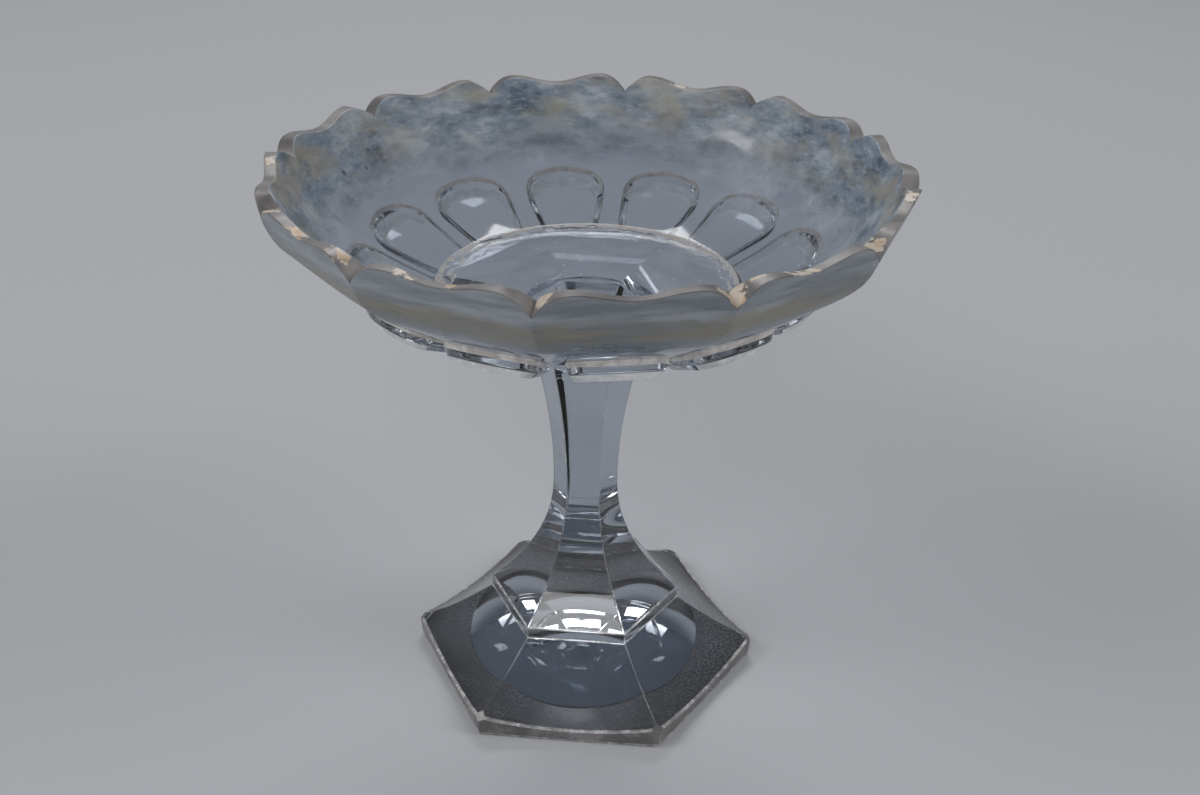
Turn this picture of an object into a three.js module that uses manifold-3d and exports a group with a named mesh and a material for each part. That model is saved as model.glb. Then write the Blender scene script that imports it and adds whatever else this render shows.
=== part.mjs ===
// Footed crystal fruit bowl: a shallow twelve-lobed bowl on a six-sided column and a hollow six-sided foot.
// Four pieces of clear glass, joined hot one on another: foot, stem, joining wafer and bowl.
// Units are millimetres, +Z is up, and the origin is the middle of the face that the foot stands on.
import * as THREE from 'three';
import { mergeVertices } from 'three/addons/utils/BufferGeometryUtils.js';
import Module from 'manifold-3d';

const wasm = await Module();
wasm.setup();

const deg = Math.PI / 180;

// Driving dimensions: the foot, all hexagon sizes from the axis to a corner
const hexSides = 6;
const hexTurn = 360 / hexSides;   // degrees from one corner to the next
const hexSteps = 10;              // points along one side of a hexagon ring
const footCorner = 75.3;          // upper edge of the foot's side faces
const footCornerBottom = 74.6;    // the side faces draw in a little downward
const footEdgeHeight = 9.6;       // side face at a corner
const footEdgeSag = 4.2;          // how much lower that edge is at the middle of a side
const sagFade = 1.5;              // how quickly the sag fades up the sloping facets
const cornerFacet = 5;            // small flat cut across each upper corner
const cornerFacetTilt = 42;       // degrees from level
const hollowRadius = 46;        // ground round hollow under the foot
const hollowDepth = 13;
const hollowShares = [0.25, 0.5, 0.75, 0.92];
const plinthCorner = 41.3;
const plinthBottom = 29.4;
const plinthTop = 34.2;
const coveRoundness = 1.3;        // how hollow the foot's six sloping facets are

// Driving dimensions: the column, whose waist is the thinnest place
const footTopHeight = 76;         // the foot ends here in the column's lower joint
const waistCorner = 13.7;
const waistHeight = 90;
const flareDownPower = 2.25;
const flareUpGain = 0.00383;
const flareUpPower = 1.89;
const stemTopHeight = 150;
const waferHeight = 3.6;
const waferRadius = 23.6;
const waferSides = 48;
const ringSpacing = 1.25;         // level rings lie closer together just above the plinth

// Driving dimensions: the bowl
const lobes = 12;
const halfLobe = 180 / lobes;     // degrees from a lobe's middle to its notch
const bowlTwist = -2.5;           // degrees that the bowl was set round from the column's corners
const bossBottom = stemTopHeight + waferHeight;
const bossFlat = 19.6;            // hexagon of the boss, axis to flat, where the wafer holds it
const bossFlatTop = 50;
const bossReach = 58;
const floorHeight = 180;
const floorRadius = 59;
const undersideHeight = 173.2;
const undersideRadius = 60.5;
const innerWall = { slope: 20, startPull: 28, endPull: 20, endHeight: 219 };
const outerWall = { slope: 25, startPull: 24, endPull: 17.5, endHeight: 217 };
const facetFull = 113;            // outside: flat panels above this radius, round below the next
const facetNone = 92;

// Driving dimensions: the rim, level heights of its two edges at a notch, a bump and a lobe's middle
const rimInnerRadius = 114.9;     // at rimReference height
const rimOuterFlat = 119.5;       // axis to the middle of an outer panel, at rimReference height
const rimReference = 224;
const rimInnerLean = 0.58;
const rimOuterLean = 0.37;
const rimInner = { notch: 222.8, bump: 228.3, dip: 225.0 };
const rimOuter = { notch: 220.2, bump: 228.4, dip: 225.5 };
const bumpPlace = 0.62;           // along half a lobe, 0 at its middle and 1 at the notch
const notchCurve = 2.2;

// Driving dimensions: the twelve raised tongues under the bowl
const tongueInner = 61.5;
const tongueOuter = 91.8;
const tongueGap = 9.2;            // between the straight sides of two neighbours
const tongueCornerRound = 11;
const tongueCornerGrowth = 0.4;   // added to that rounding for each millimetre that the end leans out
const tongueCornerEnd = 8;        // degrees that are left to turn where the outer end's bow begins
const tongueBevel = 2.9;
const tongueLandInner = 168.4;    // height of the flat land at tongueInner
const tongueLandSlope = 0.49;
const tongueShoulder = 3.3;       // the shoulder stands this much above the land
const tongueEndLean = 0.6;        // how far the steep outer end leans out up to the wall
const tongueBulge = 2.6;          // the outer end bows out a little at its middle
const tongueRoot = 0.06;          // share of the wall's glass that the tongue's sides run into
const tongueBuried = 0.5;         // share at which the tongue ends inside the wall's glass
const tongueBuriedSize = 0.6;

function positionsOnly(geometry) {
  geometry.deleteAttribute('normal');
  geometry.deleteAttribute('uv');
  return mergeVertices(geometry, 1e-4);
}

function toSolid(geometry) {
  const clean = positionsOnly(geometry);
  const vertProperties = new Float32Array(clean.attributes.position.array);
  const triVerts = new Uint32Array(clean.index.array);
  return new wasm.Manifold(new wasm.Mesh({ numProp: 3, vertProperties, triVerts }));
}

function toGeometry(solid) {
  const mesh = solid.getMesh();
  const geometry = new THREE.BufferGeometry();
  geometry.setAttribute('position', new THREE.BufferAttribute(new Float32Array(mesh.vertProperties), 3));
  geometry.setIndex(new THREE.BufferAttribute(new Uint32Array(mesh.triVerts), 1));
  return geometry;
}

// Skin a stack of closed rings, each a list of the same number of points, first and last closed by fans.
// The rings run from the lowest or innermost one so that the faces point out.
function skinRings(rings, firstCentre, lastCentre) {
  const count = rings[0].length;
  const points = rings.flat();
  const faces = [];
  for (let ring = 0; ring < rings.length - 1; ring += 1) {
    for (let step = 0; step < count; step += 1) {
      const here = ring * count + step;
      const next = ring * count + (step + 1) % count;
      faces.push(here, next, next + count);
      faces.push(here, next + count, here + count);
    }
  }
  const first = points.length;
  const last = first + 1;
  points.push(firstCentre, lastCentre);
  const top = (rings.length - 1) * count;
  for (let step = 0; step < count; step += 1) {
    faces.push(first, (step + 1) % count, step);
    faces.push(last, top + step, top + (step + 1) % count);
  }
  const geometry = new THREE.BufferGeometry().setFromPoints(points);
  geometry.setIndex(faces);
  return geometry;
}

function polar(radius, angle, height) {
  return new THREE.Vector3(radius * Math.cos(angle), radius * Math.sin(angle), height);
}

// Points of a regular hexagon with straight sides and a corner on +X
function hexRing(corner, height, sag = 0) {
  const ring = [];
  for (let side = 0; side < hexSides; side += 1) {
    const from = polar(corner, side * hexTurn * deg, height);
    const to = polar(corner, (side + 1) * hexTurn * deg, height);
    for (let step = 0; step < hexSteps; step += 1) {
      const along = step / hexSteps;
      const point = from.clone().lerp(to, along);
      point.z -= sag * (1 - (2 * along - 1) ** 2);
      ring.push(point);
    }
  }
  return ring;
}

// A level circle with its points in the same directions as a hexagon ring's
function roundRing(radius, height) {
  return hexRing(1, 0).map((point) => polar(radius, Math.atan2(point.y, point.x), height));
}

// The column's corner radius at a height, from the plinth's top to the joint under the bowl
function columnCorner(height) {
  if (height < waistHeight) {
    const rise = (height - plinthTop) / (waistHeight - plinthTop);
    return waistCorner + (plinthCorner - waistCorner) * (1 - rise) ** flareDownPower;
  }
  return waistCorner + flareUpGain * (height - waistHeight) ** flareUpPower;
}

// Foot: ground hollow, six side faces, six hollow sloping facets, plinth and the lower part of the column
function makeFoot() {
  const rings = [];
  const capRadius = (hollowRadius ** 2 + hollowDepth ** 2) / (2 * hollowDepth);
  for (const share of hollowShares) {
    const radius = hollowRadius * share;
    const height = hollowDepth - capRadius + Math.sqrt(capRadius ** 2 - radius ** 2);
    rings.push(roundRing(radius, height));
  }
  rings.push(roundRing(hollowRadius, 0));
  rings.push(hexRing(footCornerBottom, 0));
  const slopeSteps = 7;
  for (let step = 0; step < slopeSteps; step += 1) {
    const along = step / slopeSteps;
    const corner = footCorner + (plinthCorner - footCorner) * along;
    const height = footEdgeHeight + (plinthBottom - footEdgeHeight) * along ** coveRoundness;
    rings.push(hexRing(corner, height, footEdgeSag * (1 - along) ** sagFade));
  }
  rings.push(hexRing(plinthCorner, plinthBottom));
  const columnSteps = 9;
  for (let step = 0; step <= columnSteps; step += 1) {
    const height = plinthTop + (footTopHeight - plinthTop) * (step / columnSteps) ** ringSpacing;
    rings.push(hexRing(columnCorner(height), height));
  }
  const inside = new THREE.Vector3(0, 0, hollowDepth);
  const top = new THREE.Vector3(0, 0, footTopHeight);
  const body = toSolid(skinRings(rings, inside, top));
  return toGeometry(body.subtract(cornerCuts()));
}

// Six small wedges that take the foot's upper corners off in one flat facet each
function cornerCuts() {
  const size = 30;
  let cuts = null;
  for (let corner = 0; corner < hexSides; corner += 1) {
    const block = new THREE.BoxGeometry(size, size, size);
    block.translate(0, 0, size / 2);
    block.rotateY(cornerFacetTilt * deg);
    block.translate(footCorner - cornerFacet / 2, 0, footEdgeHeight);
    block.rotateZ(corner * hexTurn * deg);
    const solid = toSolid(block);
    cuts = cuts ? cuts.add(solid) : solid;
  }
  return cuts;
}

// Stem: six flat flutes, thinnest at the waist and flaring up to the joint
function makeStem() {
  const rings = [];
  const steps = 20;
  for (let step = 0; step <= steps; step += 1) {
    const height = footTopHeight + (stemTopHeight - footTopHeight) * step / steps;
    const ring = [];
    for (let side = 0; side < hexSides; side += 1) {
      ring.push(polar(columnCorner(height), side * hexTurn * deg, height));
    }
    rings.push(ring);
  }
  return skinRings(rings, new THREE.Vector3(0, 0, footTopHeight), new THREE.Vector3(0, 0, stemTopHeight));
}

// Joining wafer: the disc of hot glass squeezed between stem and bowl, with a rounded edge
function makeWafer() {
  const half = waferHeight / 2;
  const middle = stemTopHeight + half;
  const profile = [new THREE.Vector2(0, stemTopHeight)];
  const bulgeSteps = 6;
  for (let step = 0; step <= bulgeSteps; step += 1) {
    const turn = (step / bulgeSteps - 0.5) * 180 * deg;
    const radius = waferRadius - half + half * Math.cos(turn);
    profile.push(new THREE.Vector2(radius, middle + half * Math.sin(turn)));
  }
  profile.push(new THREE.Vector2(0, stemTopHeight + waferHeight));
  const geometry = new THREE.LatheGeometry(profile, waferSides);
  geometry.rotateX(90 * deg);
  return positionsOnly(geometry);
}

// The steps round one lobe, from its notch at -1 over its middle at 0 to the next notch at 1
const lobeSteps = [-1, -0.93, -0.84, -0.74, -0.62, -0.42, -0.21, 0, 0.21, 0.42, 0.62, 0.74, 0.84, 0.93];

// Height of a rim edge along a lobe: a shallow dip between two bumps, then a steep curve to the notch
function rimHeight(edge, place) {
  const away = Math.abs(place);
  if (away <= bumpPlace) {
    const blend = (1 - Math.cos(Math.PI * away / bumpPlace)) / 2;
    return edge.dip + (edge.bump - edge.dip) * blend;
  }
  return edge.bump + (edge.notch - edge.bump) * ((away - bumpPlace) / (1 - bumpPlace)) ** notchCurve;
}

// One closed ring of the bowl, from a function that gives radius and height at a place on a lobe.
// Even lobes start on a corner of the hexagonal boss and odd ones on the middle of one of its flats.
function lobeRing(shape) {
  const ring = [];
  for (let lobe = 0; lobe < lobes; lobe += 1) {
    for (const place of lobeSteps) {
      const fromMiddle = place * halfLobe * deg;
      const fromFlat = fromMiddle + (lobe % 2 === 0 ? -halfLobe : halfLobe) * deg;
      const { radius, height } = shape(fromMiddle, fromFlat, place);
      ring.push(polar(radius, (2 * lobe + 1) * halfLobe * deg + fromMiddle, height));
    }
  }
  return ring;
}

// The wall's profile, x for radius and y for height: it leaves the floor's corner at a given slope
// and runs into the straight lean of the rim
function wallCurve(startRadius, startHeight, wall, rimRadius, rimLean) {
  const start = new THREE.Vector2(startRadius, startHeight);
  const end = new THREE.Vector2(rimRadius + rimLean * (wall.endHeight - rimReference), wall.endHeight);
  const away = new THREE.Vector2(Math.cos(wall.slope * deg), Math.sin(wall.slope * deg));
  const rise = new THREE.Vector2(rimLean, 1).normalize();
  return new THREE.CubicBezierCurve(
    start,
    start.clone().addScaledVector(away, wall.startPull),
    end.clone().addScaledVector(rise, -wall.endPull),
    end,
  );
}

const innerCurve = wallCurve(floorRadius, floorHeight, innerWall, rimInnerRadius, rimInnerLean);
const outerCurve = wallCurve(undersideRadius, undersideHeight, outerWall, rimOuterFlat, rimOuterLean);

// Height of a wall profile over a given radius, found by halving the curve
function heightOver(curve, radius) {
  let low = 0;
  let high = 1;
  const halvings = 24;
  for (let step = 0; step < halvings; step += 1) {
    const middle = (low + high) / 2;
    if (curve.getPoint(middle).x < radius) {
      low = middle;
    } else {
      high = middle;
    }
  }
  return curve.getPoint(low).y;
}

// The outside has twelve flat panels near the rim, which fade to a round bowl lower down
function panelRadius(flat, fromMiddle) {
  const share = THREE.MathUtils.clamp((flat - facetNone) / (facetFull - facetNone), 0, 1);
  return flat * (1 - share + share / Math.cos(fromMiddle));
}

function bowlRings() {
  const rings = [];
  const bossSteps = 5;
  for (let step = 0; step <= bossSteps; step += 1) {
    const flat = bossFlat + (bossFlatTop - bossFlat) * step / bossSteps;
    const gap = (bossReach - flat) / (bossReach - bossFlat);
    const height = undersideHeight - (undersideHeight - bossBottom) * gap ** 2;
    rings.push(lobeRing((middle, fromFlat) => ({ radius: flat / Math.cos(fromFlat), height })));
  }
  const outerSteps = 9;
  for (const { x, y } of outerCurve.getPoints(outerSteps)) {
    rings.push(lobeRing((fromMiddle) => ({ radius: panelRadius(x, fromMiddle), height: y })));
  }
  rings.push(lobeRing((fromMiddle, fromFlat, place) => {
    const height = rimHeight(rimOuter, place);
    const flat = rimOuterFlat + rimOuterLean * (height - rimReference);
    return { radius: flat / Math.cos(fromMiddle), height };
  }));
  rings.push(lobeRing((fromMiddle, fromFlat, place) => {
    const height = rimHeight(rimInner, place);
    return { radius: rimInnerRadius + rimInnerLean * (height - rimReference), height };
  }));
  const innerSteps = 8;
  for (const { x, y } of innerCurve.getPoints(innerSteps).reverse()) {
    rings.push(lobeRing(() => ({ radius: x, height: y })));
  }
  return rings;
}

// Outline of a tongue seen from above, lying along +X: nearly radial sides and a rounded outer end
function tongueOutline(inset, reach) {
  const half = halfLobe * deg;
  const shift = tongueGap / 2 + inset;
  const inner = tongueInner + inset;
  const outer = tongueOuter - inset + reach;
  const round = tongueCornerRound - inset + reach * tongueCornerGrowth;
  const sideAt = (x) => x * Math.tan(half) - shift / Math.cos(half);
  const centreX = outer - round;
  const centreY = sideAt(centreX) - round / Math.cos(half);
  const startTurn = 90 * deg + half;
  const endTurn = tongueCornerEnd * deg;
  const turnSteps = 5;
  const left = [new THREE.Vector2(inner, sideAt(inner))];
  for (let step = 0; step <= turnSteps; step += 1) {
    const turn = startTurn + (endTurn - startTurn) * step / turnSteps;
    left.push(new THREE.Vector2(centreX + round * Math.cos(turn), centreY + round * Math.sin(turn)));
  }
  const right = left.map((point) => new THREE.Vector2(point.x, -point.y));
  return [...right, new THREE.Vector2(outer + tongueBulge, 0), ...left.reverse()];
}

function tongueLand(x) {
  return tongueLandInner + tongueLandSlope * (x - tongueInner);
}

// Height over a radius that lies a share of the way through the wall's glass, from outside to inside
function insideGlass(radius, share) {
  const outside = heightOver(outerCurve, radius);
  const inside = heightOver(innerCurve, radius);
  return outside + (inside - outside) * share;
}

// One tongue: flat land below, bevel, shoulder, steep outer end, and a root buried in the wall's glass
function makeTongue() {
  const middle = (tongueInner + tongueOuter) / 2;
  const onLand = (outline, rise) => outline.map((point) => (
    new THREE.Vector3(point.x, point.y, tongueLand(point.x) + rise)));
  const buried = (outline, share, scale) => outline.map((point) => {
    const x = middle + (point.x - middle) * scale;
    const y = point.y * scale;
    return new THREE.Vector3(x, y, insideGlass(Math.hypot(x, y), share));
  });
  const root = tongueOutline(0, tongueEndLean);
  const rings = [
    onLand(tongueOutline(tongueBevel, 0), 0),
    onLand(tongueOutline(0, 0), tongueShoulder),
    buried(root, tongueRoot, 1),
    buried(root, tongueBuried, 1),
    buried(root, tongueBuried, tongueBuriedSize),
  ];
  const below = new THREE.Vector3(middle, 0, tongueLand(middle));
  const above = new THREE.Vector3(middle, 0, insideGlass(middle, tongueBuried));
  return skinRings(rings, below, above);
}

// Bowl: the body of revolution with its lobed rim, and the twelve tongues fused under it
function makeBowl() {
  const boss = new THREE.Vector3(0, 0, bossBottom);
  const floor = new THREE.Vector3(0, 0, floorHeight);
  let body = toSolid(skinRings(bowlRings(), boss, floor));
  for (let lobe = 0; lobe < lobes; lobe += 1) {
    const tongue = makeTongue();
    tongue.rotateZ((2 * lobe + 1) * halfLobe * deg);
    body = body.add(toSolid(tongue));
  }
  return toGeometry(body);
}

function glass(color, roughness) {
  return new THREE.MeshStandardMaterial({
    color, roughness, metalness: 0, transparent: true, opacity: 0.4, side: THREE.DoubleSide,
  });
}

function piece(name, geometry, material) {
  const mesh = new THREE.Mesh(geometry, material);
  mesh.name = name;
  return mesh;
}

const fruitBowl = new THREE.Group();
fruitBowl.add(piece('foot', makeFoot(), glass(0xaeb6bd, 0.06)));
fruitBowl.add(piece('stem', makeStem(), glass(0xb4bdc4, 0.05)));
fruitBowl.add(piece('joining_wafer', makeWafer(), glass(0xb8bfc4, 0.08)));
const bowl = piece('bowl', makeBowl(), glass(0x9aa9b8, 0.12));
bowl.rotation.z = bowlTwist * deg;
fruitBowl.add(bowl);

export default fruitBowl;
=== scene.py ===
# Footed fruit bowl in clear cut glass: twelve-lobed bowl, six-sided stem and hollow six-sided foot
import bpy
import bmesh
import math
from mathutils import Matrix, Vector


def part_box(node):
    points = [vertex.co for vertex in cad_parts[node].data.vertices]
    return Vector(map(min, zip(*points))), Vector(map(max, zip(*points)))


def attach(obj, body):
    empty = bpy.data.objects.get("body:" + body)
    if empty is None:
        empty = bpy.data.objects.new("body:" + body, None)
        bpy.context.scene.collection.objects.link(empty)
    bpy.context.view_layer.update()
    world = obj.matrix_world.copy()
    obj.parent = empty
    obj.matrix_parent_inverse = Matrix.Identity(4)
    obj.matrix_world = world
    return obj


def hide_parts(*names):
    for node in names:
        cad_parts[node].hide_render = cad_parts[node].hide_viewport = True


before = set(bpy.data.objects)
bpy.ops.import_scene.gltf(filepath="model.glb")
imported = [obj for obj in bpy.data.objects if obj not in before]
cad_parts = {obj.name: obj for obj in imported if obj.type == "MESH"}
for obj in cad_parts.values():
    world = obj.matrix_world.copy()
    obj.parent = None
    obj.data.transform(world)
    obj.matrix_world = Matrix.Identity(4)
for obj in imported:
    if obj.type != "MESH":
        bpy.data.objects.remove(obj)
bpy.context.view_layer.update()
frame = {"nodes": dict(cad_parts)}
print("frame loaded:", ", ".join(frame["nodes"]))

mm = 0.001                 # shapes are drawn in millimetres and scaled once, when the mesh is made
deg = math.pi / 180


def nodeHeights(node):
    low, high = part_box(node)
    return low[2] / mm, high[2] / mm


footBase, jointHeight = nodeHeights("foot")
stemTop = nodeHeights("stem")[1]
bossBase = nodeHeights("joining_wafer")[1]

# camera
view = {
    "place": (0.0460, -0.4890, 0.3957),    # metres, in the frame
    "turn": 4.715,                         # degrees round from looking along +Y
    "down": 28.662,                        # degrees below level
    "roll": 0.872,
    "lens": 40.82,                         # mm, on a sensor 36 mm wide
    "sensor": 36.0,
}


def setCamera():
    data = bpy.data.cameras.new("photoCamera")
    data.lens = view["lens"]
    data.sensor_width = view["sensor"]
    data.sensor_fit = "HORIZONTAL"
    data.clip_start = 0.01
    data.clip_end = 50
    camera = bpy.data.objects.new("photoCamera", data)
    aim = (Matrix.Rotation(view["turn"] * deg, 4, "Z")
           @ Matrix.Rotation((90 - view["down"]) * deg, 4, "X")
           @ Matrix.Rotation(view["roll"] * deg, 4, "Z"))
    camera.matrix_world = Matrix.Translation(view["place"]) @ aim
    bpy.context.collection.objects.link(camera)
    bpy.context.scene.camera = camera


setCamera()
print("camera set")


# drawing tools: a shape is a row of columns, each a line of points from its underside to its top
def polar(radius, angle, height):
    return Vector((radius * math.cos(angle), radius * math.sin(angle), height))


def mix(a, b, share):
    return a + (b - a) * share


def clamp(value, low=0.0, high=1.0):
    return max(low, min(high, value))


# a line of (point, rounding reach, finish of the band after it), with its corners rounded;
# a rounding uses at most the given share of the edge on each side
def softLine(marks, steps=4, mostOfEdge=0.45):
    points, bands = [], []
    for place, (point, reach, finish) in enumerate(marks):
        if not reach:
            points.append(point)
            bands.append(finish)
            continue
        back = marks[place - 1][0] - point
        on = marks[place + 1][0] - point
        start = point + back * min(reach / back.xyz.length, mostOfEdge)
        end = point + on * min(reach / on.xyz.length, mostOfEdge)
        for step in range(steps + 1):
            t = step / steps
            points.append(start * (1 - t) ** 2 + point * (2 * t * (1 - t)) + end * t ** 2)
            bands.append(finish)
    return points, bands


# closed skin over the columns, with a flat cap at each end; pick may change a band's finish in a column
def skin(columns, bands, firstCap, lastCap, pick=None):
    count, depth = len(columns), len(columns[0])
    points = [point for column in columns for point in column]
    faces, finishes = [], []
    for column in range(count):
        here, there = column * depth, (column + 1) % count * depth
        for step in range(depth - 1):
            faces.append((here + step, there + step, there + step + 1, here + step + 1))
            finishes.append(pick(column, bands[step]) if pick else bands[step])
    faces.append([column * depth for column in reversed(range(count))])
    finishes.append(firstCap)
    faces.append([column * depth + depth - 1 for column in range(count)])
    finishes.append(lastCap)
    return points, faces, finishes


touching = 1e-7            # metres, points nearer to each other than this are one point


# each face's finish is a name in the piece's dictionary of materials
def meshOf(name, points, faces, finishes, materials, turn=0.0):
    mesh = bpy.data.meshes.new(name)
    spin = Matrix.Rotation(turn * deg, 3, "Z")
    mesh.from_pydata([spin @ point * mm for point in points], [], faces)
    names = list(materials)
    mesh.polygons.foreach_set("material_index", [names.index(finish) for finish in finishes])
    for material in materials.values():
        mesh.materials.append(material)
    shape = bmesh.new()
    shape.from_mesh(mesh)
    bmesh.ops.remove_doubles(shape, verts=shape.verts, dist=touching)
    bmesh.ops.recalc_face_normals(shape, faces=shape.faces)
    shape.to_mesh(mesh)
    shape.free()
    crisp(mesh)
    return mesh


# smooth shading, with a sharp edge wherever two faces meet at more degrees than this
def crisp(mesh, sharp=38):
    mesh.shade_smooth()
    mesh.set_sharp_from_angle(angle=sharp * deg)


def showPiece(name, mesh, node):
    piece = bpy.data.objects.new(name, mesh)
    bpy.context.collection.objects.link(piece)
    smooth = piece.modifiers.new("evenFacets", "WEIGHTED_NORMAL")
    smooth.mode = "FACE_AREA"
    smooth.keep_sharp = True
    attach(piece, "root")
    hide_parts(node)


# material tools
def newMaterial(name):
    material = bpy.data.materials.new(name)
    material.use_nodes = True
    material.node_tree.nodes.clear()
    return material, material.node_tree


def addNode(tree, kind, values=None, **settings):
    node = tree.nodes.new("ShaderNode" + kind)
    for key, value in settings.items():
        setattr(node, key, value)
    for key, value in (values or {}).items():
        if isinstance(value, bpy.types.NodeSocket):
            tree.links.new(value, node.inputs[key])
        else:
            node.inputs[key].default_value = value
    return node


def noiseOf(tree, scale, detail=3.0, stretch=(1, 1, 1), roughness=0.55):
    place = addNode(tree, "TexCoord").outputs["Object"]
    mapping = addNode(tree, "Mapping", {"Vector": place, "Scale": stretch})
    values = {"Vector": mapping.outputs[0], "Scale": scale, "Detail": detail, "Roughness": roughness}
    return addNode(tree, "TexNoise", values).outputs["Fac"]


def between(tree, value, low, high, toLow=0.0, toHigh=1.0):
    values = {"Value": value, "From Min": low, "From Max": high, "To Min": toLow, "To Max": toHigh}
    return addNode(tree, "MapRange", values, interpolation_type="SMOOTHSTEP").outputs[0]


def sums(tree, operation, first, second):
    return addNode(tree, "Math", {0: first, 1: second}, operation=operation).outputs[0]


def blendColour(tree, share, first, second):
    values = {"Factor": share, 6: first, 7: second}
    return addNode(tree, "Mix", values, data_type="RGBA").outputs[2]


def heightOf(tree):
    place = addNode(tree, "TexCoord").outputs["Object"]
    return addNode(tree, "SeparateXYZ", {0: place}).outputs[2]


def bumpOf(tree, value, strength, distance):
    values = {"Height": value, "Strength": strength, "Distance": distance}
    return addNode(tree, "Bump", values).outputs[0]


def finishGlass(tree, values):
    shader = addNode(tree, "BsdfPrincipled", values)
    output = addNode(tree, "OutputMaterial")
    tree.links.new(shader.outputs[0], output.inputs["Surface"])


glass = {
    "index": 1.52,
    "clear": (0.53, 0.58, 0.65, 1),         # faint blue-grey tint of the glass
    "film": {                               # left by water in the bowl, thin and thick
        "deep": (0.075, 0.108, 0.155, 1),
        "blue": (0.185, 0.230, 0.285, 1),
        "outside": (0.315, 0.350, 0.380, 1),
        "pale": (0.390, 0.430, 0.465, 1),
        "tan": (0.320, 0.290, 0.220, 1),
    },
    "filmEdge": (0.190, 0.215),             # metres, heights between which the inside film fades in
    "filmEdgeBack": 0.003,                  # how much higher that edge lies at the back
    "filmDrift": 0.008,                     # how far it wanders up and down
    "tanStart": (0.200, 0.220),             # heights between which tan stains grow stronger
    "outsideEdge": (0.188, 0.208),          # heights between which the outside film fades in
    "outsideDrift": 0.0025,
    "olive": (0.202, 0.208, 0.213, 0.219),  # heights where the olive band starts, is full, weakens and ends
    "blueBelow": (0.207, 0.199),            # heights where the blue under it starts and is full
    "clearSpots": [                         # degrees round, metres from the axis, height and size of a spot
        (165.5, 0.1057, 0.2099, 0.0034),
        (157.5, 0.1039, 0.2078, 0.0026),
        (154.0, 0.1081, 0.2130, 0.0022),
        (148.0, 0.1010, 0.2040, 0.0018),
    ],
    "ground": (0.092, 0.082, 0.080, 1),     # ground ring under the foot
    "groundPale": (0.430, 0.410, 0.405, 1),
    "edge": (0.62, 0.61, 0.61, 1),          # worn edges
    "edgeDull": (0.40, 0.385, 0.385, 1),
    "rim": (0.185, 0.168, 0.163, 1),        # satin top of the rim
    "rimPale": (0.300, 0.280, 0.272, 1),
    "rimPlace": (0.1185, 0.226),            # metres from the axis and height, where chips are centred
    "chip": (0.560, 0.490, 0.410, 1),
    "chipWarm": (0.500, 0.330, 0.190, 1),
    "chips": [                              # degrees round and reach in metres of each chipped stretch
        (186, 0.007), (211, 0.009), (221, 0.010), (233.5, 0.009), (239, 0.005), (247, 0.007), (254.5, 0.004),
        (268.5, 0.006), (297.5, 0.009), (302, 0.005), (310, 0.012), (329, 0.007), (350, 0.007), (76, 0.006),
    ],
    "floorBand": 0.0562,                    # metres from the axis, scuffed ring where the wall starts
    "bandColour": (0.330, 0.300, 0.280, 1),
    "dust": (0.75, 0.75, 0.74, 1),
    "tongueEdge": (0.76, 0.69, 0.64, 1),    # pale satin line that outlines each tongue, partly a painted reflection of the light that the fillet mirrors
    "tongueEdgeWearAndReflectionPale": (0.94, 0.88, 0.83, 1),
    "shine": (0.92, 0.92, 0.92, 1),         # painted highlight: a bright bow painted on the bevel at each tongue's outer end
    "paintedHighlightPale": (0.98, 0.98, 0.98, 1),
}


# faces where two pieces of glass are fused: nothing shows there
def makeFused():
    material, tree = newMaterial("fusedJoint")
    finishGlass(tree, {"Alpha": 0.0, "Base Color": glass["clear"], "Roughness": 0.05})
    return material


# polished glass with a little waviness from the fire polish
def makeClear(name, waviness, roughness):
    material, tree = newMaterial(name)
    wave = noiseOf(tree, waviness, 1.5)
    speck = noiseOf(tree, 900, 2.0)
    rough = between(tree, speck, 0.66, 0.74, roughness, roughness + 0.16)
    finishGlass(tree, {
        "Base Color": glass["clear"], "Roughness": rough,
        "IOR": glass["index"], "Transmission Weight": 1.0,
        "Normal": bumpOf(tree, wave, 0.10, 0.0006),
    })
    return material


# worn edges, which have gone pale and satin, and pale satin bands that paint a highlight and a reflection on the
# tongues; clearness is the share of light that still goes through
def makeWearAndPaintedLight(name, clearness, grainSize, dull, pale):
    material, tree = newMaterial(name)
    grain = noiseOf(tree, grainSize, 3.0)
    finishGlass(tree, {
        "Base Color": blendColour(tree, between(tree, grain, 0.35, 0.65), dull, pale),
        "Roughness": between(tree, grain, 0.3, 0.7, 0.14, 0.30),
        "IOR": glass["index"],
        "Transmission Weight": between(tree, grain, 0.3, 0.7, clearness + 0.15, clearness - 0.15),
        "Normal": bumpOf(tree, grain, 0.12, 0.0002),
    })
    return material


# the flat ring that the foot stands on, ground matt and speckled with wear
def makeGround():
    material, tree = newMaterial("groundGlass")
    grain = noiseOf(tree, 800, 3.0)
    blotch = noiseOf(tree, 26, 5.0, (1, 1, 1), 0.62)
    shade = sums(tree, "MULTIPLY", between(tree, grain, 0.36, 0.66),
                 between(tree, blotch, 0.40, 0.60, 0.10, 1.0))
    colour = blendColour(tree, shade, glass["ground"], glass["groundPale"])
    finishGlass(tree, {
        "Base Color": colour, "Roughness": between(tree, blotch, 0.35, 0.65, 0.45, 0.75),
        "IOR": glass["index"], "Transmission Weight": 0.4,
        "Normal": bumpOf(tree, grain, 0.4, 0.0002),
    })
    return material


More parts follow.
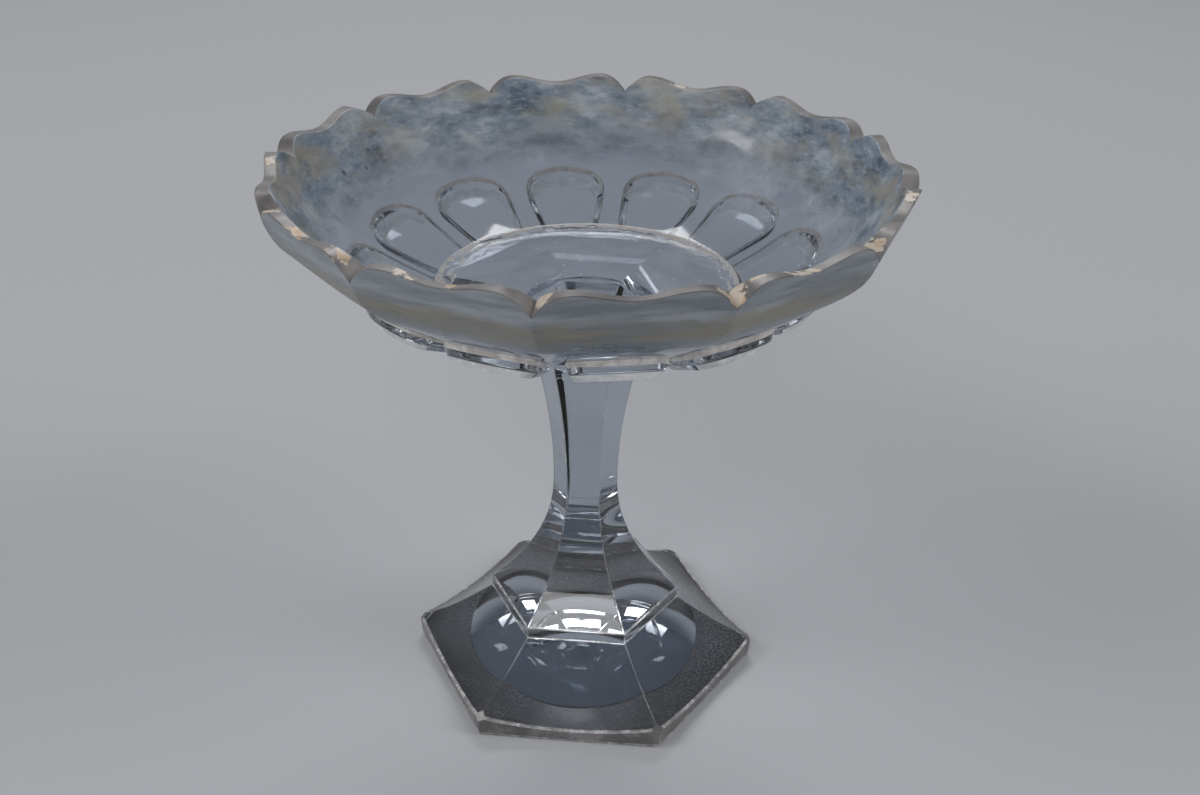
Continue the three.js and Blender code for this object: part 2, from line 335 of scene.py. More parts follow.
# how near each point is to one of some spots: 1 in the core, 0 outside; wander makes the outlines ragged
def nearSpots(tree, spots, core, wander=0.004):
    place = addNode(tree, "TexCoord").outputs["Object"]
    wobble = addNode(tree, "TexNoise", {"Vector": place, "Scale": 220.0, "Detail": 3.0}).outputs["Color"]
    ragged = addNode(tree, "VectorMath", {0: wobble, 1: (wander,) * 3, 2: place}, operation="MULTIPLY_ADD")
    near = None
    for spot, reach in spots:
        values = {0: ragged.outputs[0], 1: spot + Vector((wander / 2,) * 3)}
        away = addNode(tree, "VectorMath", values, operation="DISTANCE").outputs["Value"]
        here = between(tree, away, reach * core, reach, 1.0, 0.0)
        near = sums(tree, "MAXIMUM", near, here) if near else here
    return near


# inside wall: mottled film from the rim down to an uneven edge, with clear spots in it;
# it is matt only where it is thick, so that its thin edge stays clear
def makeInside():
    material, tree = newMaterial("insideWallGlass")
    film = glass["film"]
    place = addNode(tree, "TexCoord").outputs["Object"]
    parts = addNode(tree, "SeparateXYZ", {0: place}).outputs
    drift = noiseOf(tree, 24, 6.0, (1, 1, 1.6), 0.62)
    height = sums(tree, "SUBTRACT", parts[2], between(tree, parts[1], 0.02, 0.11, 0.0, glass["filmEdgeBack"]))
    wander = between(tree, drift, 0.30, 0.70, -glass["filmDrift"], glass["filmDrift"])
    covered = between(tree, sums(tree, "ADD", height, wander), *glass["filmEdge"])
    spots = [(polar(radius, angle * deg, level), size) for angle, radius, level, size in glass["clearSpots"]]
    near = nearSpots(tree, spots, 0.1)
    covered = sums(tree, "MULTIPLY", covered, sums(tree, "SUBTRACT", 1.0, near))
    cloud = noiseOf(tree, 52, 8.0, (1, 1, 2.0), 0.66)
    wisps = noiseOf(tree, 150, 7.0, (1, 1, 3.2), 0.70)
    grain = noiseOf(tree, 620, 4.0, (1, 1, 1.6), 0.70)
    warm = noiseOf(tree, 30, 4.0, (1, 1, 2.6), 0.6)
    colour = blendColour(tree, between(tree, cloud, 0.36, 0.50), film["deep"], film["blue"])
    colour = blendColour(tree, between(tree, cloud, 0.50, 0.66, 0.0, 0.8), colour, film["pale"])
    colour = blendColour(tree, between(tree, wisps, 0.50, 0.72, 0.0, 0.75), colour, film["pale"])
    colour = blendColour(tree, between(tree, wisps, 0.48, 0.34, 0.0, 0.45), colour, film["deep"])
    nearRim = between(tree, parts[2], *glass["tanStart"], 0.35, 1.0)
    tan = sums(tree, "MULTIPLY", between(tree, warm, 0.44, 0.66, 0.0, 0.70), nearRim)
    colour = blendColour(tree, tan, colour, film["tan"])
    colour = blendColour(tree, between(tree, grain, 0.52, 0.72, 0.0, 0.35), colour, film["pale"])
    colour = blendColour(tree, between(tree, covered, 0.25, 0.90), glass["clear"], colour)
    cover = sums(tree, "MULTIPLY", covered, between(tree, cloud, 0.28, 0.60, 0.72, 0.96))
    finishGlass(tree, {
        "Base Color": colour, "Roughness": between(tree, cover, 0.28, 0.74, 0.05, 0.5),
        "IOR": glass["index"],
        "Transmission Weight": sums(tree, "SUBTRACT", 1.0, cover),
        "Normal": bumpOf(tree, wisps, between(tree, cover, 0.45, 0.95, 0.0, 0.12), 0.0002),
    })
    return material


# outside wall: level streaks of film, olive in the middle and blue-grey above and below
def makeOutside():
    material, tree = newMaterial("outsideWallGlass")
    film = glass["film"]
    height = heightOf(tree)
    streak = noiseOf(tree, 26, 7.0, (1, 1, 8), 0.64)
    lines = noiseOf(tree, 110, 6.0, (1, 1, 7), 0.70)
    patches = noiseOf(tree, 60, 5.0, (1, 1, 3.0), 0.65)
    wander = between(tree, patches, 0.25, 0.75, -glass["outsideDrift"], glass["outsideDrift"])
    uneven = sums(tree, "ADD", height, wander)
    covered = between(tree, uneven, *glass["outsideEdge"])
    start, full, weaker, end = glass["olive"]
    olive = sums(tree, "MULTIPLY", between(tree, uneven, start, full), between(tree, uneven, end, weaker))
    colour = blendColour(tree, between(tree, streak, 0.35, 0.65), film["outside"], film["pale"])
    tan = sums(tree, "MULTIPLY", olive, between(tree, streak, 0.38, 0.58, 0.35, 0.95))
    colour = blendColour(tree, tan, colour, film["tan"])
    low = sums(tree, "MULTIPLY", between(tree, uneven, *glass["blueBelow"]),
               between(tree, streak, 0.60, 0.42, 0.1, 0.75))
    colour = blendColour(tree, low, colour, film["blue"])
    colour = blendColour(tree, between(tree, lines, 0.52, 0.70, 0.0, 0.45), colour, film["pale"])
    colour = blendColour(tree, between(tree, lines, 0.46, 0.32, 0.0, 0.35), colour, film["deep"])
    cover = sums(tree, "MULTIPLY", covered, between(tree, streak, 0.35, 0.68, 0.60, 0.90))
    colour = blendColour(tree, between(tree, covered, 0.25, 0.90), glass["clear"], colour)
    finishGlass(tree, {
        "Base Color": colour, "Roughness": between(tree, cover, 0.35, 0.65, 0.05, 0.38),
        "IOR": glass["index"],
        "Transmission Weight": sums(tree, "SUBTRACT", 1.0, cover),
        "Normal": bumpOf(tree, lines, between(tree, cover, 0.5, 0.9, 0.0, 0.20), 0.0002),
    })
    return material


# cut top of the rim: smooth satin, with pale deposits and warm chips on some stretches
def makeRim():
    material, tree = newMaterial("rimGlass")
    soft = noiseOf(tree, 70, 3.0)
    crust = noiseOf(tree, 210, 4.0, (1, 1, 1), 0.62)
    radius, height = glass["rimPlace"]
    near = nearSpots(tree, [(polar(radius, angle * deg, height), reach) for angle, reach in glass["chips"]], 0.4)
    spread = sums(tree, "ADD", crust, between(tree, near, 0.0, 1.0, -0.30, 0.05))
    patches = between(tree, spread, 0.500, 0.520)
    warm = between(tree, noiseOf(tree, 95, 2.0), 0.54, 0.64, 0.0, 0.8)
    colour = blendColour(tree, between(tree, soft, 0.35, 0.65), glass["rim"], glass["rimPale"])
    colour = blendColour(tree, patches, colour, blendColour(tree, warm, glass["chip"], glass["chipWarm"]))
    cover = sums(tree, "MAXIMUM", between(tree, soft, 0.3, 0.7, 0.55, 0.75), patches)
    finishGlass(tree, {
        "Base Color": colour, "Roughness": between(tree, crust, 0.3, 0.7, 0.36, 0.48),
        "IOR": glass["index"],
        "Transmission Weight": sums(tree, "SUBTRACT", 1.0, cover),
        "Normal": bumpOf(tree, patches, 0.2, 0.0002),
    })
    return material


# floor of the bowl: dust, faint mist and two uneven scuffed rings where the wall starts
def makeFloor():
    material, tree = newMaterial("floorGlass")
    place = addNode(tree, "TexCoord").outputs["Object"]
    parts = addNode(tree, "SeparateXYZ", {0: place}).outputs
    squares = sums(tree, "ADD", sums(tree, "MULTIPLY", parts[0], parts[0]),
                   sums(tree, "MULTIPLY", parts[1], parts[1]))
    uneven = between(tree, noiseOf(tree, 60, 4.0), 0.3, 0.7, -0.0024, 0.0024)
    radius = sums(tree, "ADD", sums(tree, "SQRT", squares, 0.5), uneven)
    start = glass["floorBand"]
    band = between(tree, radius, start, start + 0.0010)
    # the thinner ring lies 1 to 3 mm inside the first
    inner = sums(tree, "MULTIPLY", between(tree, radius, start - 0.0032, start - 0.0024),
                 between(tree, radius, start - 0.0012, start - 0.0018))
    band = sums(tree, "MAXIMUM", band, sums(tree, "MULTIPLY", inner, 0.75))
    scuffs = noiseOf(tree, 190, 5.0, (1, 1, 1), 0.7)
    band = sums(tree, "MULTIPLY", band, between(tree, scuffs, 0.34, 0.54, 0.25, 1.0))
    dust = addNode(tree, "TexVoronoi", {"Vector": place, "Scale": 260.0})
    specks = between(tree, dust.outputs["Distance"], 0.06, 0.11, 1.0, 0.0)
    specks = sums(tree, "MULTIPLY", specks, between(tree, noiseOf(tree, 45, 2.0), 0.46, 0.56))
    mist = between(tree, noiseOf(tree, 55, 5.0, (1, 1, 1), 0.65), 0.42, 0.72, 0.0, 0.22)
    colour = blendColour(tree, mist, glass["clear"], glass["film"]["blue"])
    colour = blendColour(tree, band, colour, glass["bandColour"])
    colour = blendColour(tree, specks, colour, glass["dust"])
    cover = sums(tree, "MAXIMUM", sums(tree, "MULTIPLY", band, 0.7), sums(tree, "MULTIPLY", specks, 0.6))
    cover = sums(tree, "MAXIMUM", cover, mist)
    finishGlass(tree, {
        "Base Color": colour, "Roughness": between(tree, cover, 0.0, 0.6, 0.03, 0.4),
        "IOR": glass["index"],
        "Transmission Weight": sums(tree, "SUBTRACT", 1.0, cover),
        "Normal": bumpOf(tree, noiseOf(tree, 24, 1.5), 0.15, 0.0006),
    })
    return material


fusedJoint = makeFused()
clearGlass = makeClear("clearGlass", 30, 0.02)
wornGlass = makeWearAndPaintedLight("wornEdge", 0.45, 260, glass["edgeDull"], glass["edge"])
seamGlass = makeWearAndPaintedLight("seamGlass", 0.80, 90, glass["edgeDull"], glass["edge"])
sideGlass = makeWearAndPaintedLight("footSide", 0.50, 60, glass["rim"], glass["rimPale"])
tongueGlass = makeClear("tongueGlass", 60, 0.03)
# pale band round each tongue's root: partly ground satin, partly a painted reflection of light mirrored by the
# fillet
tongueEdgeWearAndReflectionGlass = makeWearAndPaintedLight("tongueEdge", 0.16, 170, glass["tongueEdge"], glass["tongueEdgeWearAndReflectionPale"])
# painted highlight: almost white satin colour on the tongues' outer bevels, standing in for light reflected
# there
tonguePaintedHighlightGlass = makeWearAndPaintedLight("tonguePaintedHighlight", 0.16, 120, glass["shine"], glass["paintedHighlightPale"])
hollowGlass = makeClear("hollowGlass", 22, 0.03)
groundGlass = makeGround()
insideWallGlass = makeInside()
outsideWallGlass = makeOutside()
rimGlass = makeRim()
floorGlass = makeFloor()
print("materials made")


# six-sided shapes: each spot is a place round a hexagon, whose corners are rounded a little
cornerSteps = 4


def hexSpots(sideSteps):
    spots = []
    for side in range(6):
        spots += [(side, "corner", step / cornerSteps) for step in range(cornerSteps)]
        spots += [(side, "side", step / sideSteps) for step in range(sideSteps)]
    return spots


def hexPoint(spot, corner, soft, height, sag=0.0):
    side, kind, share = spot
    here = polar(corner, side * 60 * deg, height)
    on = (polar(corner, (side + 1) * 60 * deg, height) - here) / corner
    back = (polar(corner, (side - 1) * 60 * deg, height) - here) / corner
    if kind == "corner":
        return here + back * soft * (1 - share) ** 2 + on * soft * share ** 2
    along = soft + (corner - 2 * soft) * share
    drop = sag * (1 - (2 * along / corner - 1) ** 2)
    return here + on * along - Vector((0, 0, drop))


# clear glass turns into a worn seam on the two middle faces of each rounded corner
def seamsOf(spots):
    middle = (1 / cornerSteps, 2 / cornerSteps)
    seams = {number for number, (side, kind, share) in enumerate(spots) if kind == "corner" and share in middle}
    return lambda column, finish: "seam" if column in seams and finish == "clear" else finish


# each point of the line is a corner radius, a height, the sag of the sides' middles and a share of roundness;
# a corner's rounding uses at most the given share of its radius
def hexColumn(spot, line, soft, mostOfRadius=0.2):
    column = []
    for corner, height, sag, roundness in line:
        point = hexPoint(spot, corner, min(soft, corner * mostOfRadius), height, sag)
        if roundness:
            circle = polar(corner, math.atan2(point.y, point.x), height)
            point = mix(point, circle, roundness)
        column.append(point)
    return column


# the six-sided shaft that foot and stem make together
shaft = {
    "plinthTop": 34.2, "plinthCorner": 41.3,
    "waist": 13.7, "waistHeight": 90,
    "flareDown": 2.25, "flareUp": 0.00383, "flareUpPower": 1.89,
    "softCorner": 0.55,
    "joint": 0.35,                          # rounding of the two edges that meet in the joint line
    "jointInset": 1.2,                      # how far the fused faces' outlines lie inside those edges
}


def shaftCorner(height):
    if height < shaft["waistHeight"]:
        rise = (height - shaft["plinthTop"]) / (shaft["waistHeight"] - shaft["plinthTop"])
        return shaft["waist"] + (shaft["plinthCorner"] - shaft["waist"]) * (1 - rise) ** shaft["flareDown"]
    return shaft["waist"] + shaft["flareUp"] * (height - shaft["waistHeight"]) ** shaft["flareUpPower"]


foot = {
    "corner": 75.3, "cornerBottom": 74.6,
    "lowBand": (0.1, 1.4, 0.55),            # top of the worn band at the ground: how far out, height, sag
    "edgeHeight": 9.6, "edgeSag": 4.2, "sagFade": 1.5,
    "facet": 5, "facetTilt": 42,
    "facetReach": 13,                       # each corner's cut stays within this of its middle
    "hollowRadius": 46, "hollowDepth": 13,
    "plinthBottom": 29.4, "plinthBand": 0.6,
    "cove": 1.3,
    "softEdge": 0.6, "softPlinth": 0.35,
    "slopeSteps": 26, "neckSteps": 30, "neckSpread": 1.25, "hollowSteps": 22, "sideSteps": 22,
}


def footLine():
    marks = []
    capRadius = (foot["hollowRadius"] ** 2 + foot["hollowDepth"] ** 2) / (2 * foot["hollowDepth"])
    for step in range(1, foot["hollowSteps"]):
        radius = foot["hollowRadius"] * step / foot["hollowSteps"]
        height = foot["hollowDepth"] - capRadius + math.sqrt(capRadius ** 2 - radius ** 2)
        marks.append((Vector((radius, height, 0, 1)), 0, "hollow"))
    marks.append((Vector((foot["hollowRadius"], footBase, 0, 1)), foot["softEdge"], "ground"))
    marks.append((Vector((foot["cornerBottom"], footBase, 0, 0)), foot["softEdge"], "worn"))
    out, up, sag = foot["lowBand"]
    marks.append((Vector((foot["cornerBottom"] + out, footBase + up, sag, 0)), 0, "side"))
    for step in range(foot["slopeSteps"]):
        along = step / foot["slopeSteps"]
        corner = mix(foot["corner"], shaft["plinthCorner"], along)
        height = foot["edgeHeight"] + (foot["plinthBottom"] - foot["edgeHeight"]) * along ** foot["cove"]
        sag = foot["edgeSag"] * (1 - along) ** foot["sagFade"]
        reach, finish = (0, "clear") if step else (foot["softEdge"], "worn")
        marks.append((Vector((corner, height, sag, 0)), reach, finish))
    plinth, soft = foot["plinthBottom"], foot["softPlinth"]
    marks.append((Vector((shaft["plinthCorner"], plinth, 0, 0)), soft, "worn"))
    marks.append((Vector((shaft["plinthCorner"], plinth + foot["plinthBand"], 0, 0)), 0, "clear"))
    for step in range(foot["neckSteps"]):
        height = mix(shaft["plinthTop"], jointHeight, (step / foot["neckSteps"]) ** foot["neckSpread"])
        reach, finish = (0, "clear") if step else (soft, "worn")
        marks.append((Vector((shaftCorner(height), height, 0, 0)), reach, finish))
    corner = shaftCorner(jointHeight)
    marks.append((Vector((corner, jointHeight, 0, 0)), shaft["joint"], "worn"))
    marks.append((Vector((corner - shaft["jointInset"], jointHeight, 0, 0)), 0, "fused"))
    points, bands = softLine(marks)
    bands[-2] = "fused"                     # the last band lies in the joint
    return points, bands


# one flat facet across each upper corner of the foot
def cutCorners(mesh, facetMaterial):
    onPlane, weld = 1e-6, 2e-5              # metres
    shape = bmesh.new()
    shape.from_mesh(mesh)
    tilt = foot["facetTilt"] * deg
    for side in range(6):
        angle = side * 60 * deg
        place = polar(foot["corner"] - foot["facet"] / 2, angle, foot["edgeHeight"]) * mm
        away = polar(math.sin(tilt), angle, math.cos(tilt))
        reach = foot["facetReach"] * mm
        near = [face for face in shape.faces if (face.calc_center_median() - place).length < reach]
        # dict.fromkeys drops repeats and keeps the order, so that every run numbers the points alike
        parts = list(dict.fromkeys(corner for face in near for corner in face.verts))
        parts += list(dict.fromkeys(edge for face in near for edge in face.edges)) + near
        bmesh.ops.bisect_plane(shape, geom=parts, plane_co=place, plane_no=away, clear_outer=True, dist=onPlane)
        outline = [edge for edge in shape.edges if len(edge.link_faces) == 1]
        made = bmesh.ops.contextual_create(shape, geom=outline, mat_nr=facetMaterial)
        for edge in made["faces"][0].edges:
            edge.smooth = False
    bmesh.ops.remove_doubles(shape, verts=shape.verts, dist=weld)
    bmesh.ops.recalc_face_normals(shape, faces=shape.faces)
    shape.to_mesh(mesh)
    shape.free()


def makeFoot():
    materials = {
        "fused": fusedJoint, "clear": clearGlass, "worn": wornGlass, "seam": seamGlass,
        "ground": groundGlass, "hollow": hollowGlass, "side": sideGlass,
    }
    line, bands = footLine()
    spots = hexSpots(foot["sideSteps"])
    columns = [hexColumn(spot, line, shaft["softCorner"]) for spot in spots]
    mesh = meshOf("foot_glass", *skin(columns, bands, "hollow", "fused", seamsOf(spots)), materials)
    cutCorners(mesh, list(materials).index("worn"))
    showPiece("foot_glass", mesh, "foot")


makeFoot()
print("foot made")


stem = {"steps": 44, "sideSteps": 12}


def makeStem():
    materials = {"fused": fusedJoint, "clear": clearGlass, "worn": wornGlass, "seam": seamGlass}
    marks = [(Vector((shaftCorner(jointHeight) - shaft["jointInset"], jointHeight, 0, 0)), 0, "fused")]
    for step in range(stem["steps"] + 1):
        height = mix(jointHeight, stemTop, step / stem["steps"])
        marks.append((Vector((shaftCorner(height), height, 0, 0)), 0 if step else shaft["joint"], "clear"))
    line, bands = softLine(marks)
    spots = hexSpots(stem["sideSteps"])
    columns = [hexColumn(spot, line, shaft["softCorner"]) for spot in spots]
    mesh = meshOf("stem_glass", *skin(columns, bands, "fused", "fused", seamsOf(spots)), materials)
    showPiece("stem_glass", mesh, "stem")


makeStem()
print("stem made")


# the bowl's sizes stand before the wafer, which ends where the boss starts
bowl = {
    "lobes": 12,
    "turn": -2.5,                           # degrees that the bowl was set round from the shaft's corners
    "bossFlat": 19.6, "bossFlatTop": 50,    # across half its flats at the wafer and where the wall starts
    "bossReach": 58, "bossSteps": 12,
    "floorHeight": 180, "floorRadius": 59, "softFloor": 0.7,
    "floorRings": (50, 38, 24),             # radii of the rings of points in the floor
    "undersideHeight": 173.2, "undersideRadius": 60.5,
    "innerWall": (20, 28, 20, 219),         # slope at the floor, two pulls, height where the rim starts
    "outerWall": (25, 24, 17.5, 217),
    "innerSteps": 44, "outerSteps": 34,
    "facetNone": 92, "facetFull": 113,      # radii between which the outside's flat panels appear
    "rimInnerRadius": 114.9, "rimOuterFlat": 119.5, "rimReference": 224,
    "rimInnerLean": 0.58, "rimOuterLean": 0.37,     # outward for each mm up
    "rimInner": (222.8, 228.3, 225.0),      # heights at a notch, a bump and a lobe's middle
    "rimOuter": (220.2, 228.4, 225.5),
    "bumpPlace": 0.62, "notchCurve": 2.2,
    "softRim": 0.5,
    # places where a lobe is drawn, from its middle to its notch
    "halfLobe": [0, 0.1, 0.2, 0.29, 0.38, 0.46, 0.54, 0.62, 0.69, 0.76, 0.82, 0.875, 0.92, 0.955, 0.98, 1],
}

wafer = {"radius": 23.6, "edgeSteps": 10, "sideSteps": 14}


# disc of glass squeezed between stem and boss, whose round edge stands a little proud of both
def makeWafer():
    half = (bossBase - stemTop) / 2
    marks = [(Vector((shaftCorner(stemTop), stemTop, 0, 0)), 0, "clear")]
    for step in range(wafer["edgeSteps"] + 1):
        turn = (step / wafer["edgeSteps"] - 0.5) * 180 * deg
        place = (wafer["radius"] - half + half * math.cos(turn), stemTop + half + half * math.sin(turn), 0, 1)
        marks.append((Vector(place), 0, "clear"))
    bossCorner = bowl["bossFlat"] / math.cos(30 * deg)
    marks.append((Vector((bossCorner, bossBase, 0, 0)), 0, "fused"))
    line, bands = softLine(marks)
    columns = [hexColumn(spot, line, shaft["softCorner"]) for spot in hexSpots(wafer["sideSteps"])]
    materials = {"fused": fusedJoint, "clear": clearGlass}
    mesh = meshOf("wafer_glass", *skin(columns, bands, "fused", "fused"), materials)
    showPiece("wafer_glass", mesh, "joining_wafer")


makeWafer()
print("wafer made")


halfTurn = 180 / bowl["lobes"]      # degrees from a lobe's middle to its notch


# a wall's profile, from the floor's corner into the straight lean of the rim
def wallPoints(startRadius, startHeight, wall, rimRadius, rimLean, steps):
    slope, startPull, endPull, endHeight = wall
    start = Vector((startRadius, startHeight))
    end = Vector((rimRadius + rimLean * (endHeight - bowl["rimReference"]), endHeight))
    first = start + Vector((math.cos(slope * deg), math.sin(slope * deg))) * startPull
    second = end - Vector((rimLean, 1)).normalized() * endPull
    points = []
    for step in range(steps + 1):
        t = step / steps
        points.append(start * (1 - t) ** 3 + first * (3 * t * (1 - t) ** 2)
                      + second * (3 * t * t * (1 - t)) + end * t ** 3)
    return points


innerWall = wallPoints(bowl["floorRadius"], bowl["floorHeight"], bowl["innerWall"],
                       bowl["rimInnerRadius"], bowl["rimInnerLean"], bowl["innerSteps"])
outerWall = wallPoints(bowl["undersideRadius"], bowl["undersideHeight"], bowl["outerWall"],
                       bowl["rimOuterFlat"], bowl["rimOuterLean"], bowl["outerSteps"])


def heightOver(wall, radius):
    for low, high in zip(wall, wall[1:]):
        if radius <= high.x:
            return mix(low.y, high.y, (radius - low.x) / (high.x - low.x))
    return wall[-1].y


# place runs from -1 at one notch over 0 in the lobe's middle to 1 at the next notch
def rimHeight(edge, place):
    notch, bump, dip = edge
    away, bumpPlace = abs(place), bowl["bumpPlace"]
    if away <= bumpPlace:
        return mix(dip, bump, (1 - math.cos(math.pi * away / bumpPlace)) / 2)
    return mix(bump, notch, ((away - bumpPlace) / (1 - bumpPlace)) ** bowl["notchCurve"])


# the outside has flat panels near the rim, which fade into a round bowl lower down
def panelRadius(flat, fromMiddle):
    share = clamp((flat - bowl["facetNone"]) / (bowl["facetFull"] - bowl["facetNone"]))
    return flat * (1 - share + share / math.cos(fromMiddle))


# one upright line over the bowl: boss, outside, rim, inside and floor
def bowlColumn(lobe, place):
    fromMiddle = place * halfTurn * deg
    fromFlat = (place * halfTurn + (halfTurn if lobe % 2 else -halfTurn)) * deg
    angle = (lobe * 2 + 1) * halfTurn * deg + fromMiddle
    marks = []
    for step in range(bowl["bossSteps"] + 1):
        flat = mix(bowl["bossFlat"], bowl["bossFlatTop"], step / bowl["bossSteps"])
        gap = (bowl["bossReach"] - flat) / (bowl["bossReach"] - bowl["bossFlat"])
        height = bowl["undersideHeight"] - (bowl["undersideHeight"] - bossBase) * gap ** 2
        marks.append((polar(flat / math.cos(fromFlat), angle, height), 0, "clear"))
    for spot in outerWall:
        marks.append((polar(panelRadius(spot.x, fromMiddle), angle, spot.y), 0, "outside"))
    height = rimHeight(bowl["rimOuter"], place)
    flat = bowl["rimOuterFlat"] + bowl["rimOuterLean"] * (height - bowl["rimReference"])
    marks.append((polar(flat / math.cos(fromMiddle), angle, height), bowl["softRim"], "rim"))
    height = rimHeight(bowl["rimInner"], place)
    radius = bowl["rimInnerRadius"] + bowl["rimInnerLean"] * (height - bowl["rimReference"])
    marks.append((polar(radius, angle, height), bowl["softRim"], "inside"))
    for spot in reversed(innerWall[1:]):
        marks.append((polar(spot.x, angle, spot.y), 0, "inside"))
    marks.append((polar(bowl["floorRadius"], angle, bowl["floorHeight"]), bowl["softFloor"], "floor"))
    for radius in bowl["floorRings"]:
        marks.append((polar(radius, angle, bowl["floorHeight"]), 0, "floor"))
    return softLine(marks)


tongue = {
    "inner": 61.5, "outer": 91.6, "gap": 9.2,
    "cornerRound": 9,
    "cornerStart": 105, "cornerEnd": 18,    # degrees over which a corner turns, seen from above
    "leanRound": 0.4,                       # share of a lean that the corners' rounding gains
    "bevel": 2.9, "landInset": 2.4,
    "landInner": 168.4, "landSlope": 0.49,  # height of the flat land at its inner end, rise for each mm out
    "shoulder": 3.3, "endLean": 0.6, "bulge": 1.7,
    "softBevel": 0.8,
    "fillet": 1.0,                          # the side flares out this much where it meets the wall
    "filletFrom": 0.76,
    "rootDepth": 0.10, "coreDepth": 0.5,    # shares of the wall that the root and the hidden top reach into
}


# outline seen from above, lying along +X: nearly radial sides and a rounded outer end
def tongueOutline(inset, reach):
    half = halfTurn * deg
    shift = tongue["gap"] / 2 + inset
    inner, outer = tongue["inner"] + inset, tongue["outer"] - inset + reach
    roundness = tongue["cornerRound"] - inset + reach * tongue["leanRound"]

    def sideAt(x):
        return x * math.tan(half) - shift / math.cos(half)

    centre = Vector((outer - roundness, sideAt(outer - roundness) - roundness / math.cos(half)))
    left = []
    arcSteps, sideSteps, endSteps = 12, 8, 6
    turnStart, turnEnd = tongue["cornerStart"] * deg, tongue["cornerEnd"] * deg
    arcStart = centre + Vector((math.cos(turnStart), math.sin(turnStart))) * roundness
    sideStart = Vector((inner, sideAt(inner)))
    for step in range(sideSteps):
        left.append(mix(sideStart, arcStart, step / sideSteps))
    for step in range(arcSteps + 1):
        turn = mix(turnStart, turnEnd, step / arcSteps)
        left.append(centre + Vector((math.cos(turn), math.sin(turn))) * roundness)
    tip = Vector((outer + tongue["bulge"], 0))
    corner = left[-1]
    for step in range(1, endSteps):
        share = step / endSteps
        left.append(Vector((mix(tip.x, corner.x, (1 - share) ** 2), mix(corner.y, 0, share))))
    right = [Vector((point.x, -point.y)) for point in left]
    base = [Vector((inner, mix(sideStart.y, -sideStart.y, step / 4))) for step in range(1, 4)]
    return right + [tip] + left[::-1] + base


# upright lines round one tongue, from its flat land up into the wall's glass
def tongueColumns():
    def onLand(spot, rise):
        height = tongue["landInner"] + tongue["landSlope"] * (spot.x - tongue["inner"])
        return Vector((spot.x, spot.y, height + rise))

    def inGlass(spot, share):
        radius = spot.length
        return Vector((spot.x, spot.y, mix(heightOver(outerWall, radius), heightOver(innerWall, radius), share)))

    bevel = tongue["bevel"]
    outlines = [tongueOutline(bevel + tongue["landInset"], 0), tongueOutline(bevel, 0), tongueOutline(0, 0),
                tongueOutline(0, tongue["endLean"]), tongueOutline(-tongue["fillet"], tongue["endLean"])]
    columns = []
    outerEnd = set()
    for flatSpot, landSpot, sideSpot, wallSpot, rootSpot in zip(*outlines):
        land, shoulder = onLand(landSpot, 0), onLand(sideSpot, tongue["shoulder"])
        wallSide = inGlass(wallSpot, 0.0)
        marks = [
            (onLand(flatSpot, 0), 0, "tongue"),
            (land, tongue["softBevel"], "shine"),
            (shoulder, tongue["softBevel"], "tongue"),
            (mix(shoulder, wallSide, tongue["filletFrom"]), tongue["fillet"], "tongueEdge"),
            (inGlass(rootSpot, tongue["rootDepth"]), 0, "tongueEdge"),
            (inGlass(rootSpot, tongue["coreDepth"]), 0, "tongue"),
        ]
        line, bands = softLine(marks)
        if landSpot.x > tongue["outer"] - tongue["cornerRound"]:
            outerEnd.add(len(columns))
        columns.append(line)

    # the painted highlight stays only on the bevels at the tongues' outer ends
    def paintedHighlightOnEnd(column, finish):
        return "tongue" if finish == "shine" and column not in outerEnd else finish

    return columns, bands, paintedHighlightOnEnd


def makeBowl():
    materials = {
        "fused": fusedJoint, "clear": clearGlass, "outside": outsideWallGlass, "rim": rimGlass,
        "inside": insideWallGlass, "floor": floorGlass,
        "tongue": tongueGlass, "tongueEdge": tongueEdgeWearAndReflectionGlass, "shine": tonguePaintedHighlightGlass,
    }
    places = [-away for away in reversed(bowl["halfLobe"][1:])] + bowl["halfLobe"][:-1]
    columns = []
    for lobe in range(bowl["lobes"]):
        for place in places:
            line, bands = bowlColumn(lobe, place)
            columns.append(line)
    mesh = meshOf("bowl_glass", *skin(columns, bands, "fused", "floor"), materials, bowl["turn"])
    body = bpy.data.objects.new("bowlBody", mesh)
    bpy.context.collection.objects.link(body)

    points, faces, finishes = [], [], []
    lines, bands, paintedHighlightOnEnd = tongueColumns()
    for lobe in range(bowl["lobes"]):
        spin = Matrix.Rotation((lobe * 2 + 1) * halfTurn * deg, 3, "Z")
        turned = [[spin @ point for point in line] for line in lines]
        newPoints, newFaces, newFinishes = skin(turned, bands, "tongue", "tongue", paintedHighlightOnEnd)
        faces += [[index + len(points) for index in face] for face in newFaces]
        points += newPoints
        finishes += newFinishes
    mesh = meshOf("tongues", points, faces, finishes, materials, bowl["turn"])
    tongues = bpy.data.objects.new("tongues", mesh)
    bpy.context.collection.objects.link(tongues)

    join = body.modifiers.new("fuseTongues", "BOOLEAN")
    join.operation = "UNION"
    join.object = tongues
    join.solver = "MANIFOLD"
    ready = body.evaluated_get(bpy.context.evaluated_depsgraph_get())
    fused = bpy.data.meshes.new_from_object(ready)
    fused.name = "bowl_glass"
    crisp(fused)
    for leftover in (body, tongues):
        bpy.data.objects.remove(leftover)
    print("bowl faces", len(fused.polygons))
    showPiece("bowl_glass", fused, "bowl")


makeBowl()
print("bowl made")


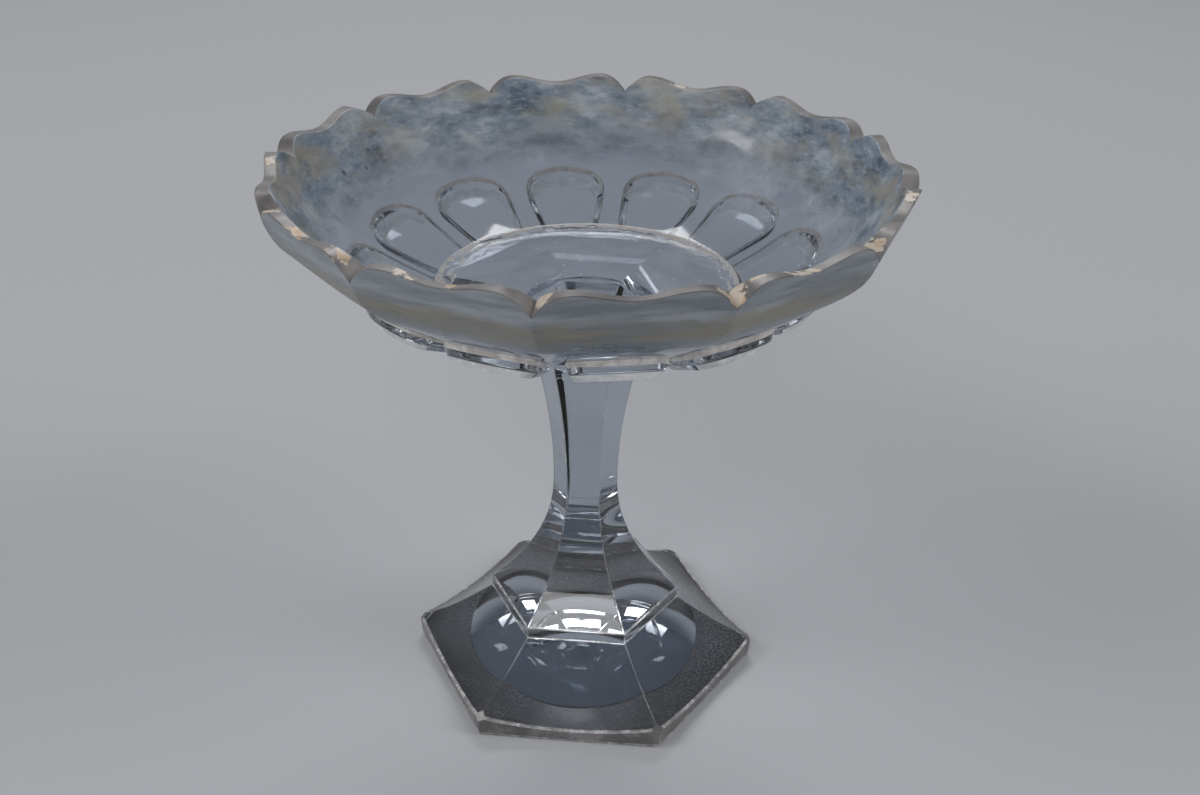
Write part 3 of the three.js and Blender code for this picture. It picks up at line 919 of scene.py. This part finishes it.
# plain studio: pale floor that fades into a pale horizon, dim ceiling and four soft boxes aimed at the bowl
studio = {
    "floor": (0.45, 0.46, 0.48, 1),
    "floorSize": 4.0,                       # metres
    "sides": 64,
    "drop": 0.0003,                         # how far it lies under the glass, so the two faces don't fight
    "fade": (1.6, 3.8),                     # metres from the middle, where it starts to fade and is gone
    "horizon": (0.335, 0.345, 0.360, 1),
    "above": (0.110, 0.115, 0.130, 1),
    "rise": (0.08, 0.55),                   # upward share of a direction, where one colour turns into the other
    "aim": (0, 0, 0.12),
    "boxes": [
        # place, size, watts
        ((-2.2, -0.8, 2.1), (1.7, 1.3), 32),
        ((2.3, -0.2, 1.7), (1.0, 1.9), 24),
        ((-0.2, 2.1, 2.4), (1.3, 0.9), 27),
        ((-0.5, -2.4, 2.2), (1.6, 0.9), 21),
    ],
}


def makeFloorSheet():
    size, sides = studio["floorSize"], studio["sides"]
    mesh = bpy.data.meshes.new("studioFloor")
    ring = [polar(size, 2 * math.pi * side / sides, 0) for side in range(sides)]
    mesh.from_pydata(ring, [], [list(range(sides))])
    floor = bpy.data.objects.new("studioFloor", mesh)
    floor.location.z = -studio["drop"]
    bpy.context.collection.objects.link(floor)
    material, tree = newMaterial("studioFloor")
    place = addNode(tree, "TexCoord").outputs["Object"]
    away = addNode(tree, "VectorMath", {0: place}, operation="LENGTH").outputs["Value"]
    solid = between(tree, away, *studio["fade"], 1.0, 0.0)
    finishGlass(tree, {"Base Color": studio["floor"], "Roughness": 0.8, "Alpha": solid})
    mesh.materials.append(material)


def makeStudio():
    makeFloorSheet()
    for number, (place, (width, depth), watts) in enumerate(studio["boxes"]):
        lamp = bpy.data.lights.new("softBox%d" % number, "AREA")
        lamp.shape = "RECTANGLE"
        lamp.size, lamp.size_y = width, depth
        lamp.energy = watts
        box = bpy.data.objects.new("softBox%d" % number, lamp)
        box.location = place
        box.rotation_euler = (Vector(studio["aim"]) - Vector(place)).to_track_quat("-Z", "Y").to_euler()
        bpy.context.collection.objects.link(box)
    world = bpy.data.worlds.new("studio")
    world.use_nodes = True
    tree = world.node_tree
    sky = addNode(tree, "TexCoord").outputs["Generated"]
    rise = addNode(tree, "SeparateXYZ", {0: sky}).outputs[2]
    colour = blendColour(tree, between(tree, rise, *studio["rise"]), studio["horizon"], studio["above"])
    tree.links.new(colour, tree.nodes["Background"].inputs[0])
    bpy.context.scene.world = world
    bpy.context.scene.view_settings.view_transform = "Standard"


makeStudio()
print("studio made")
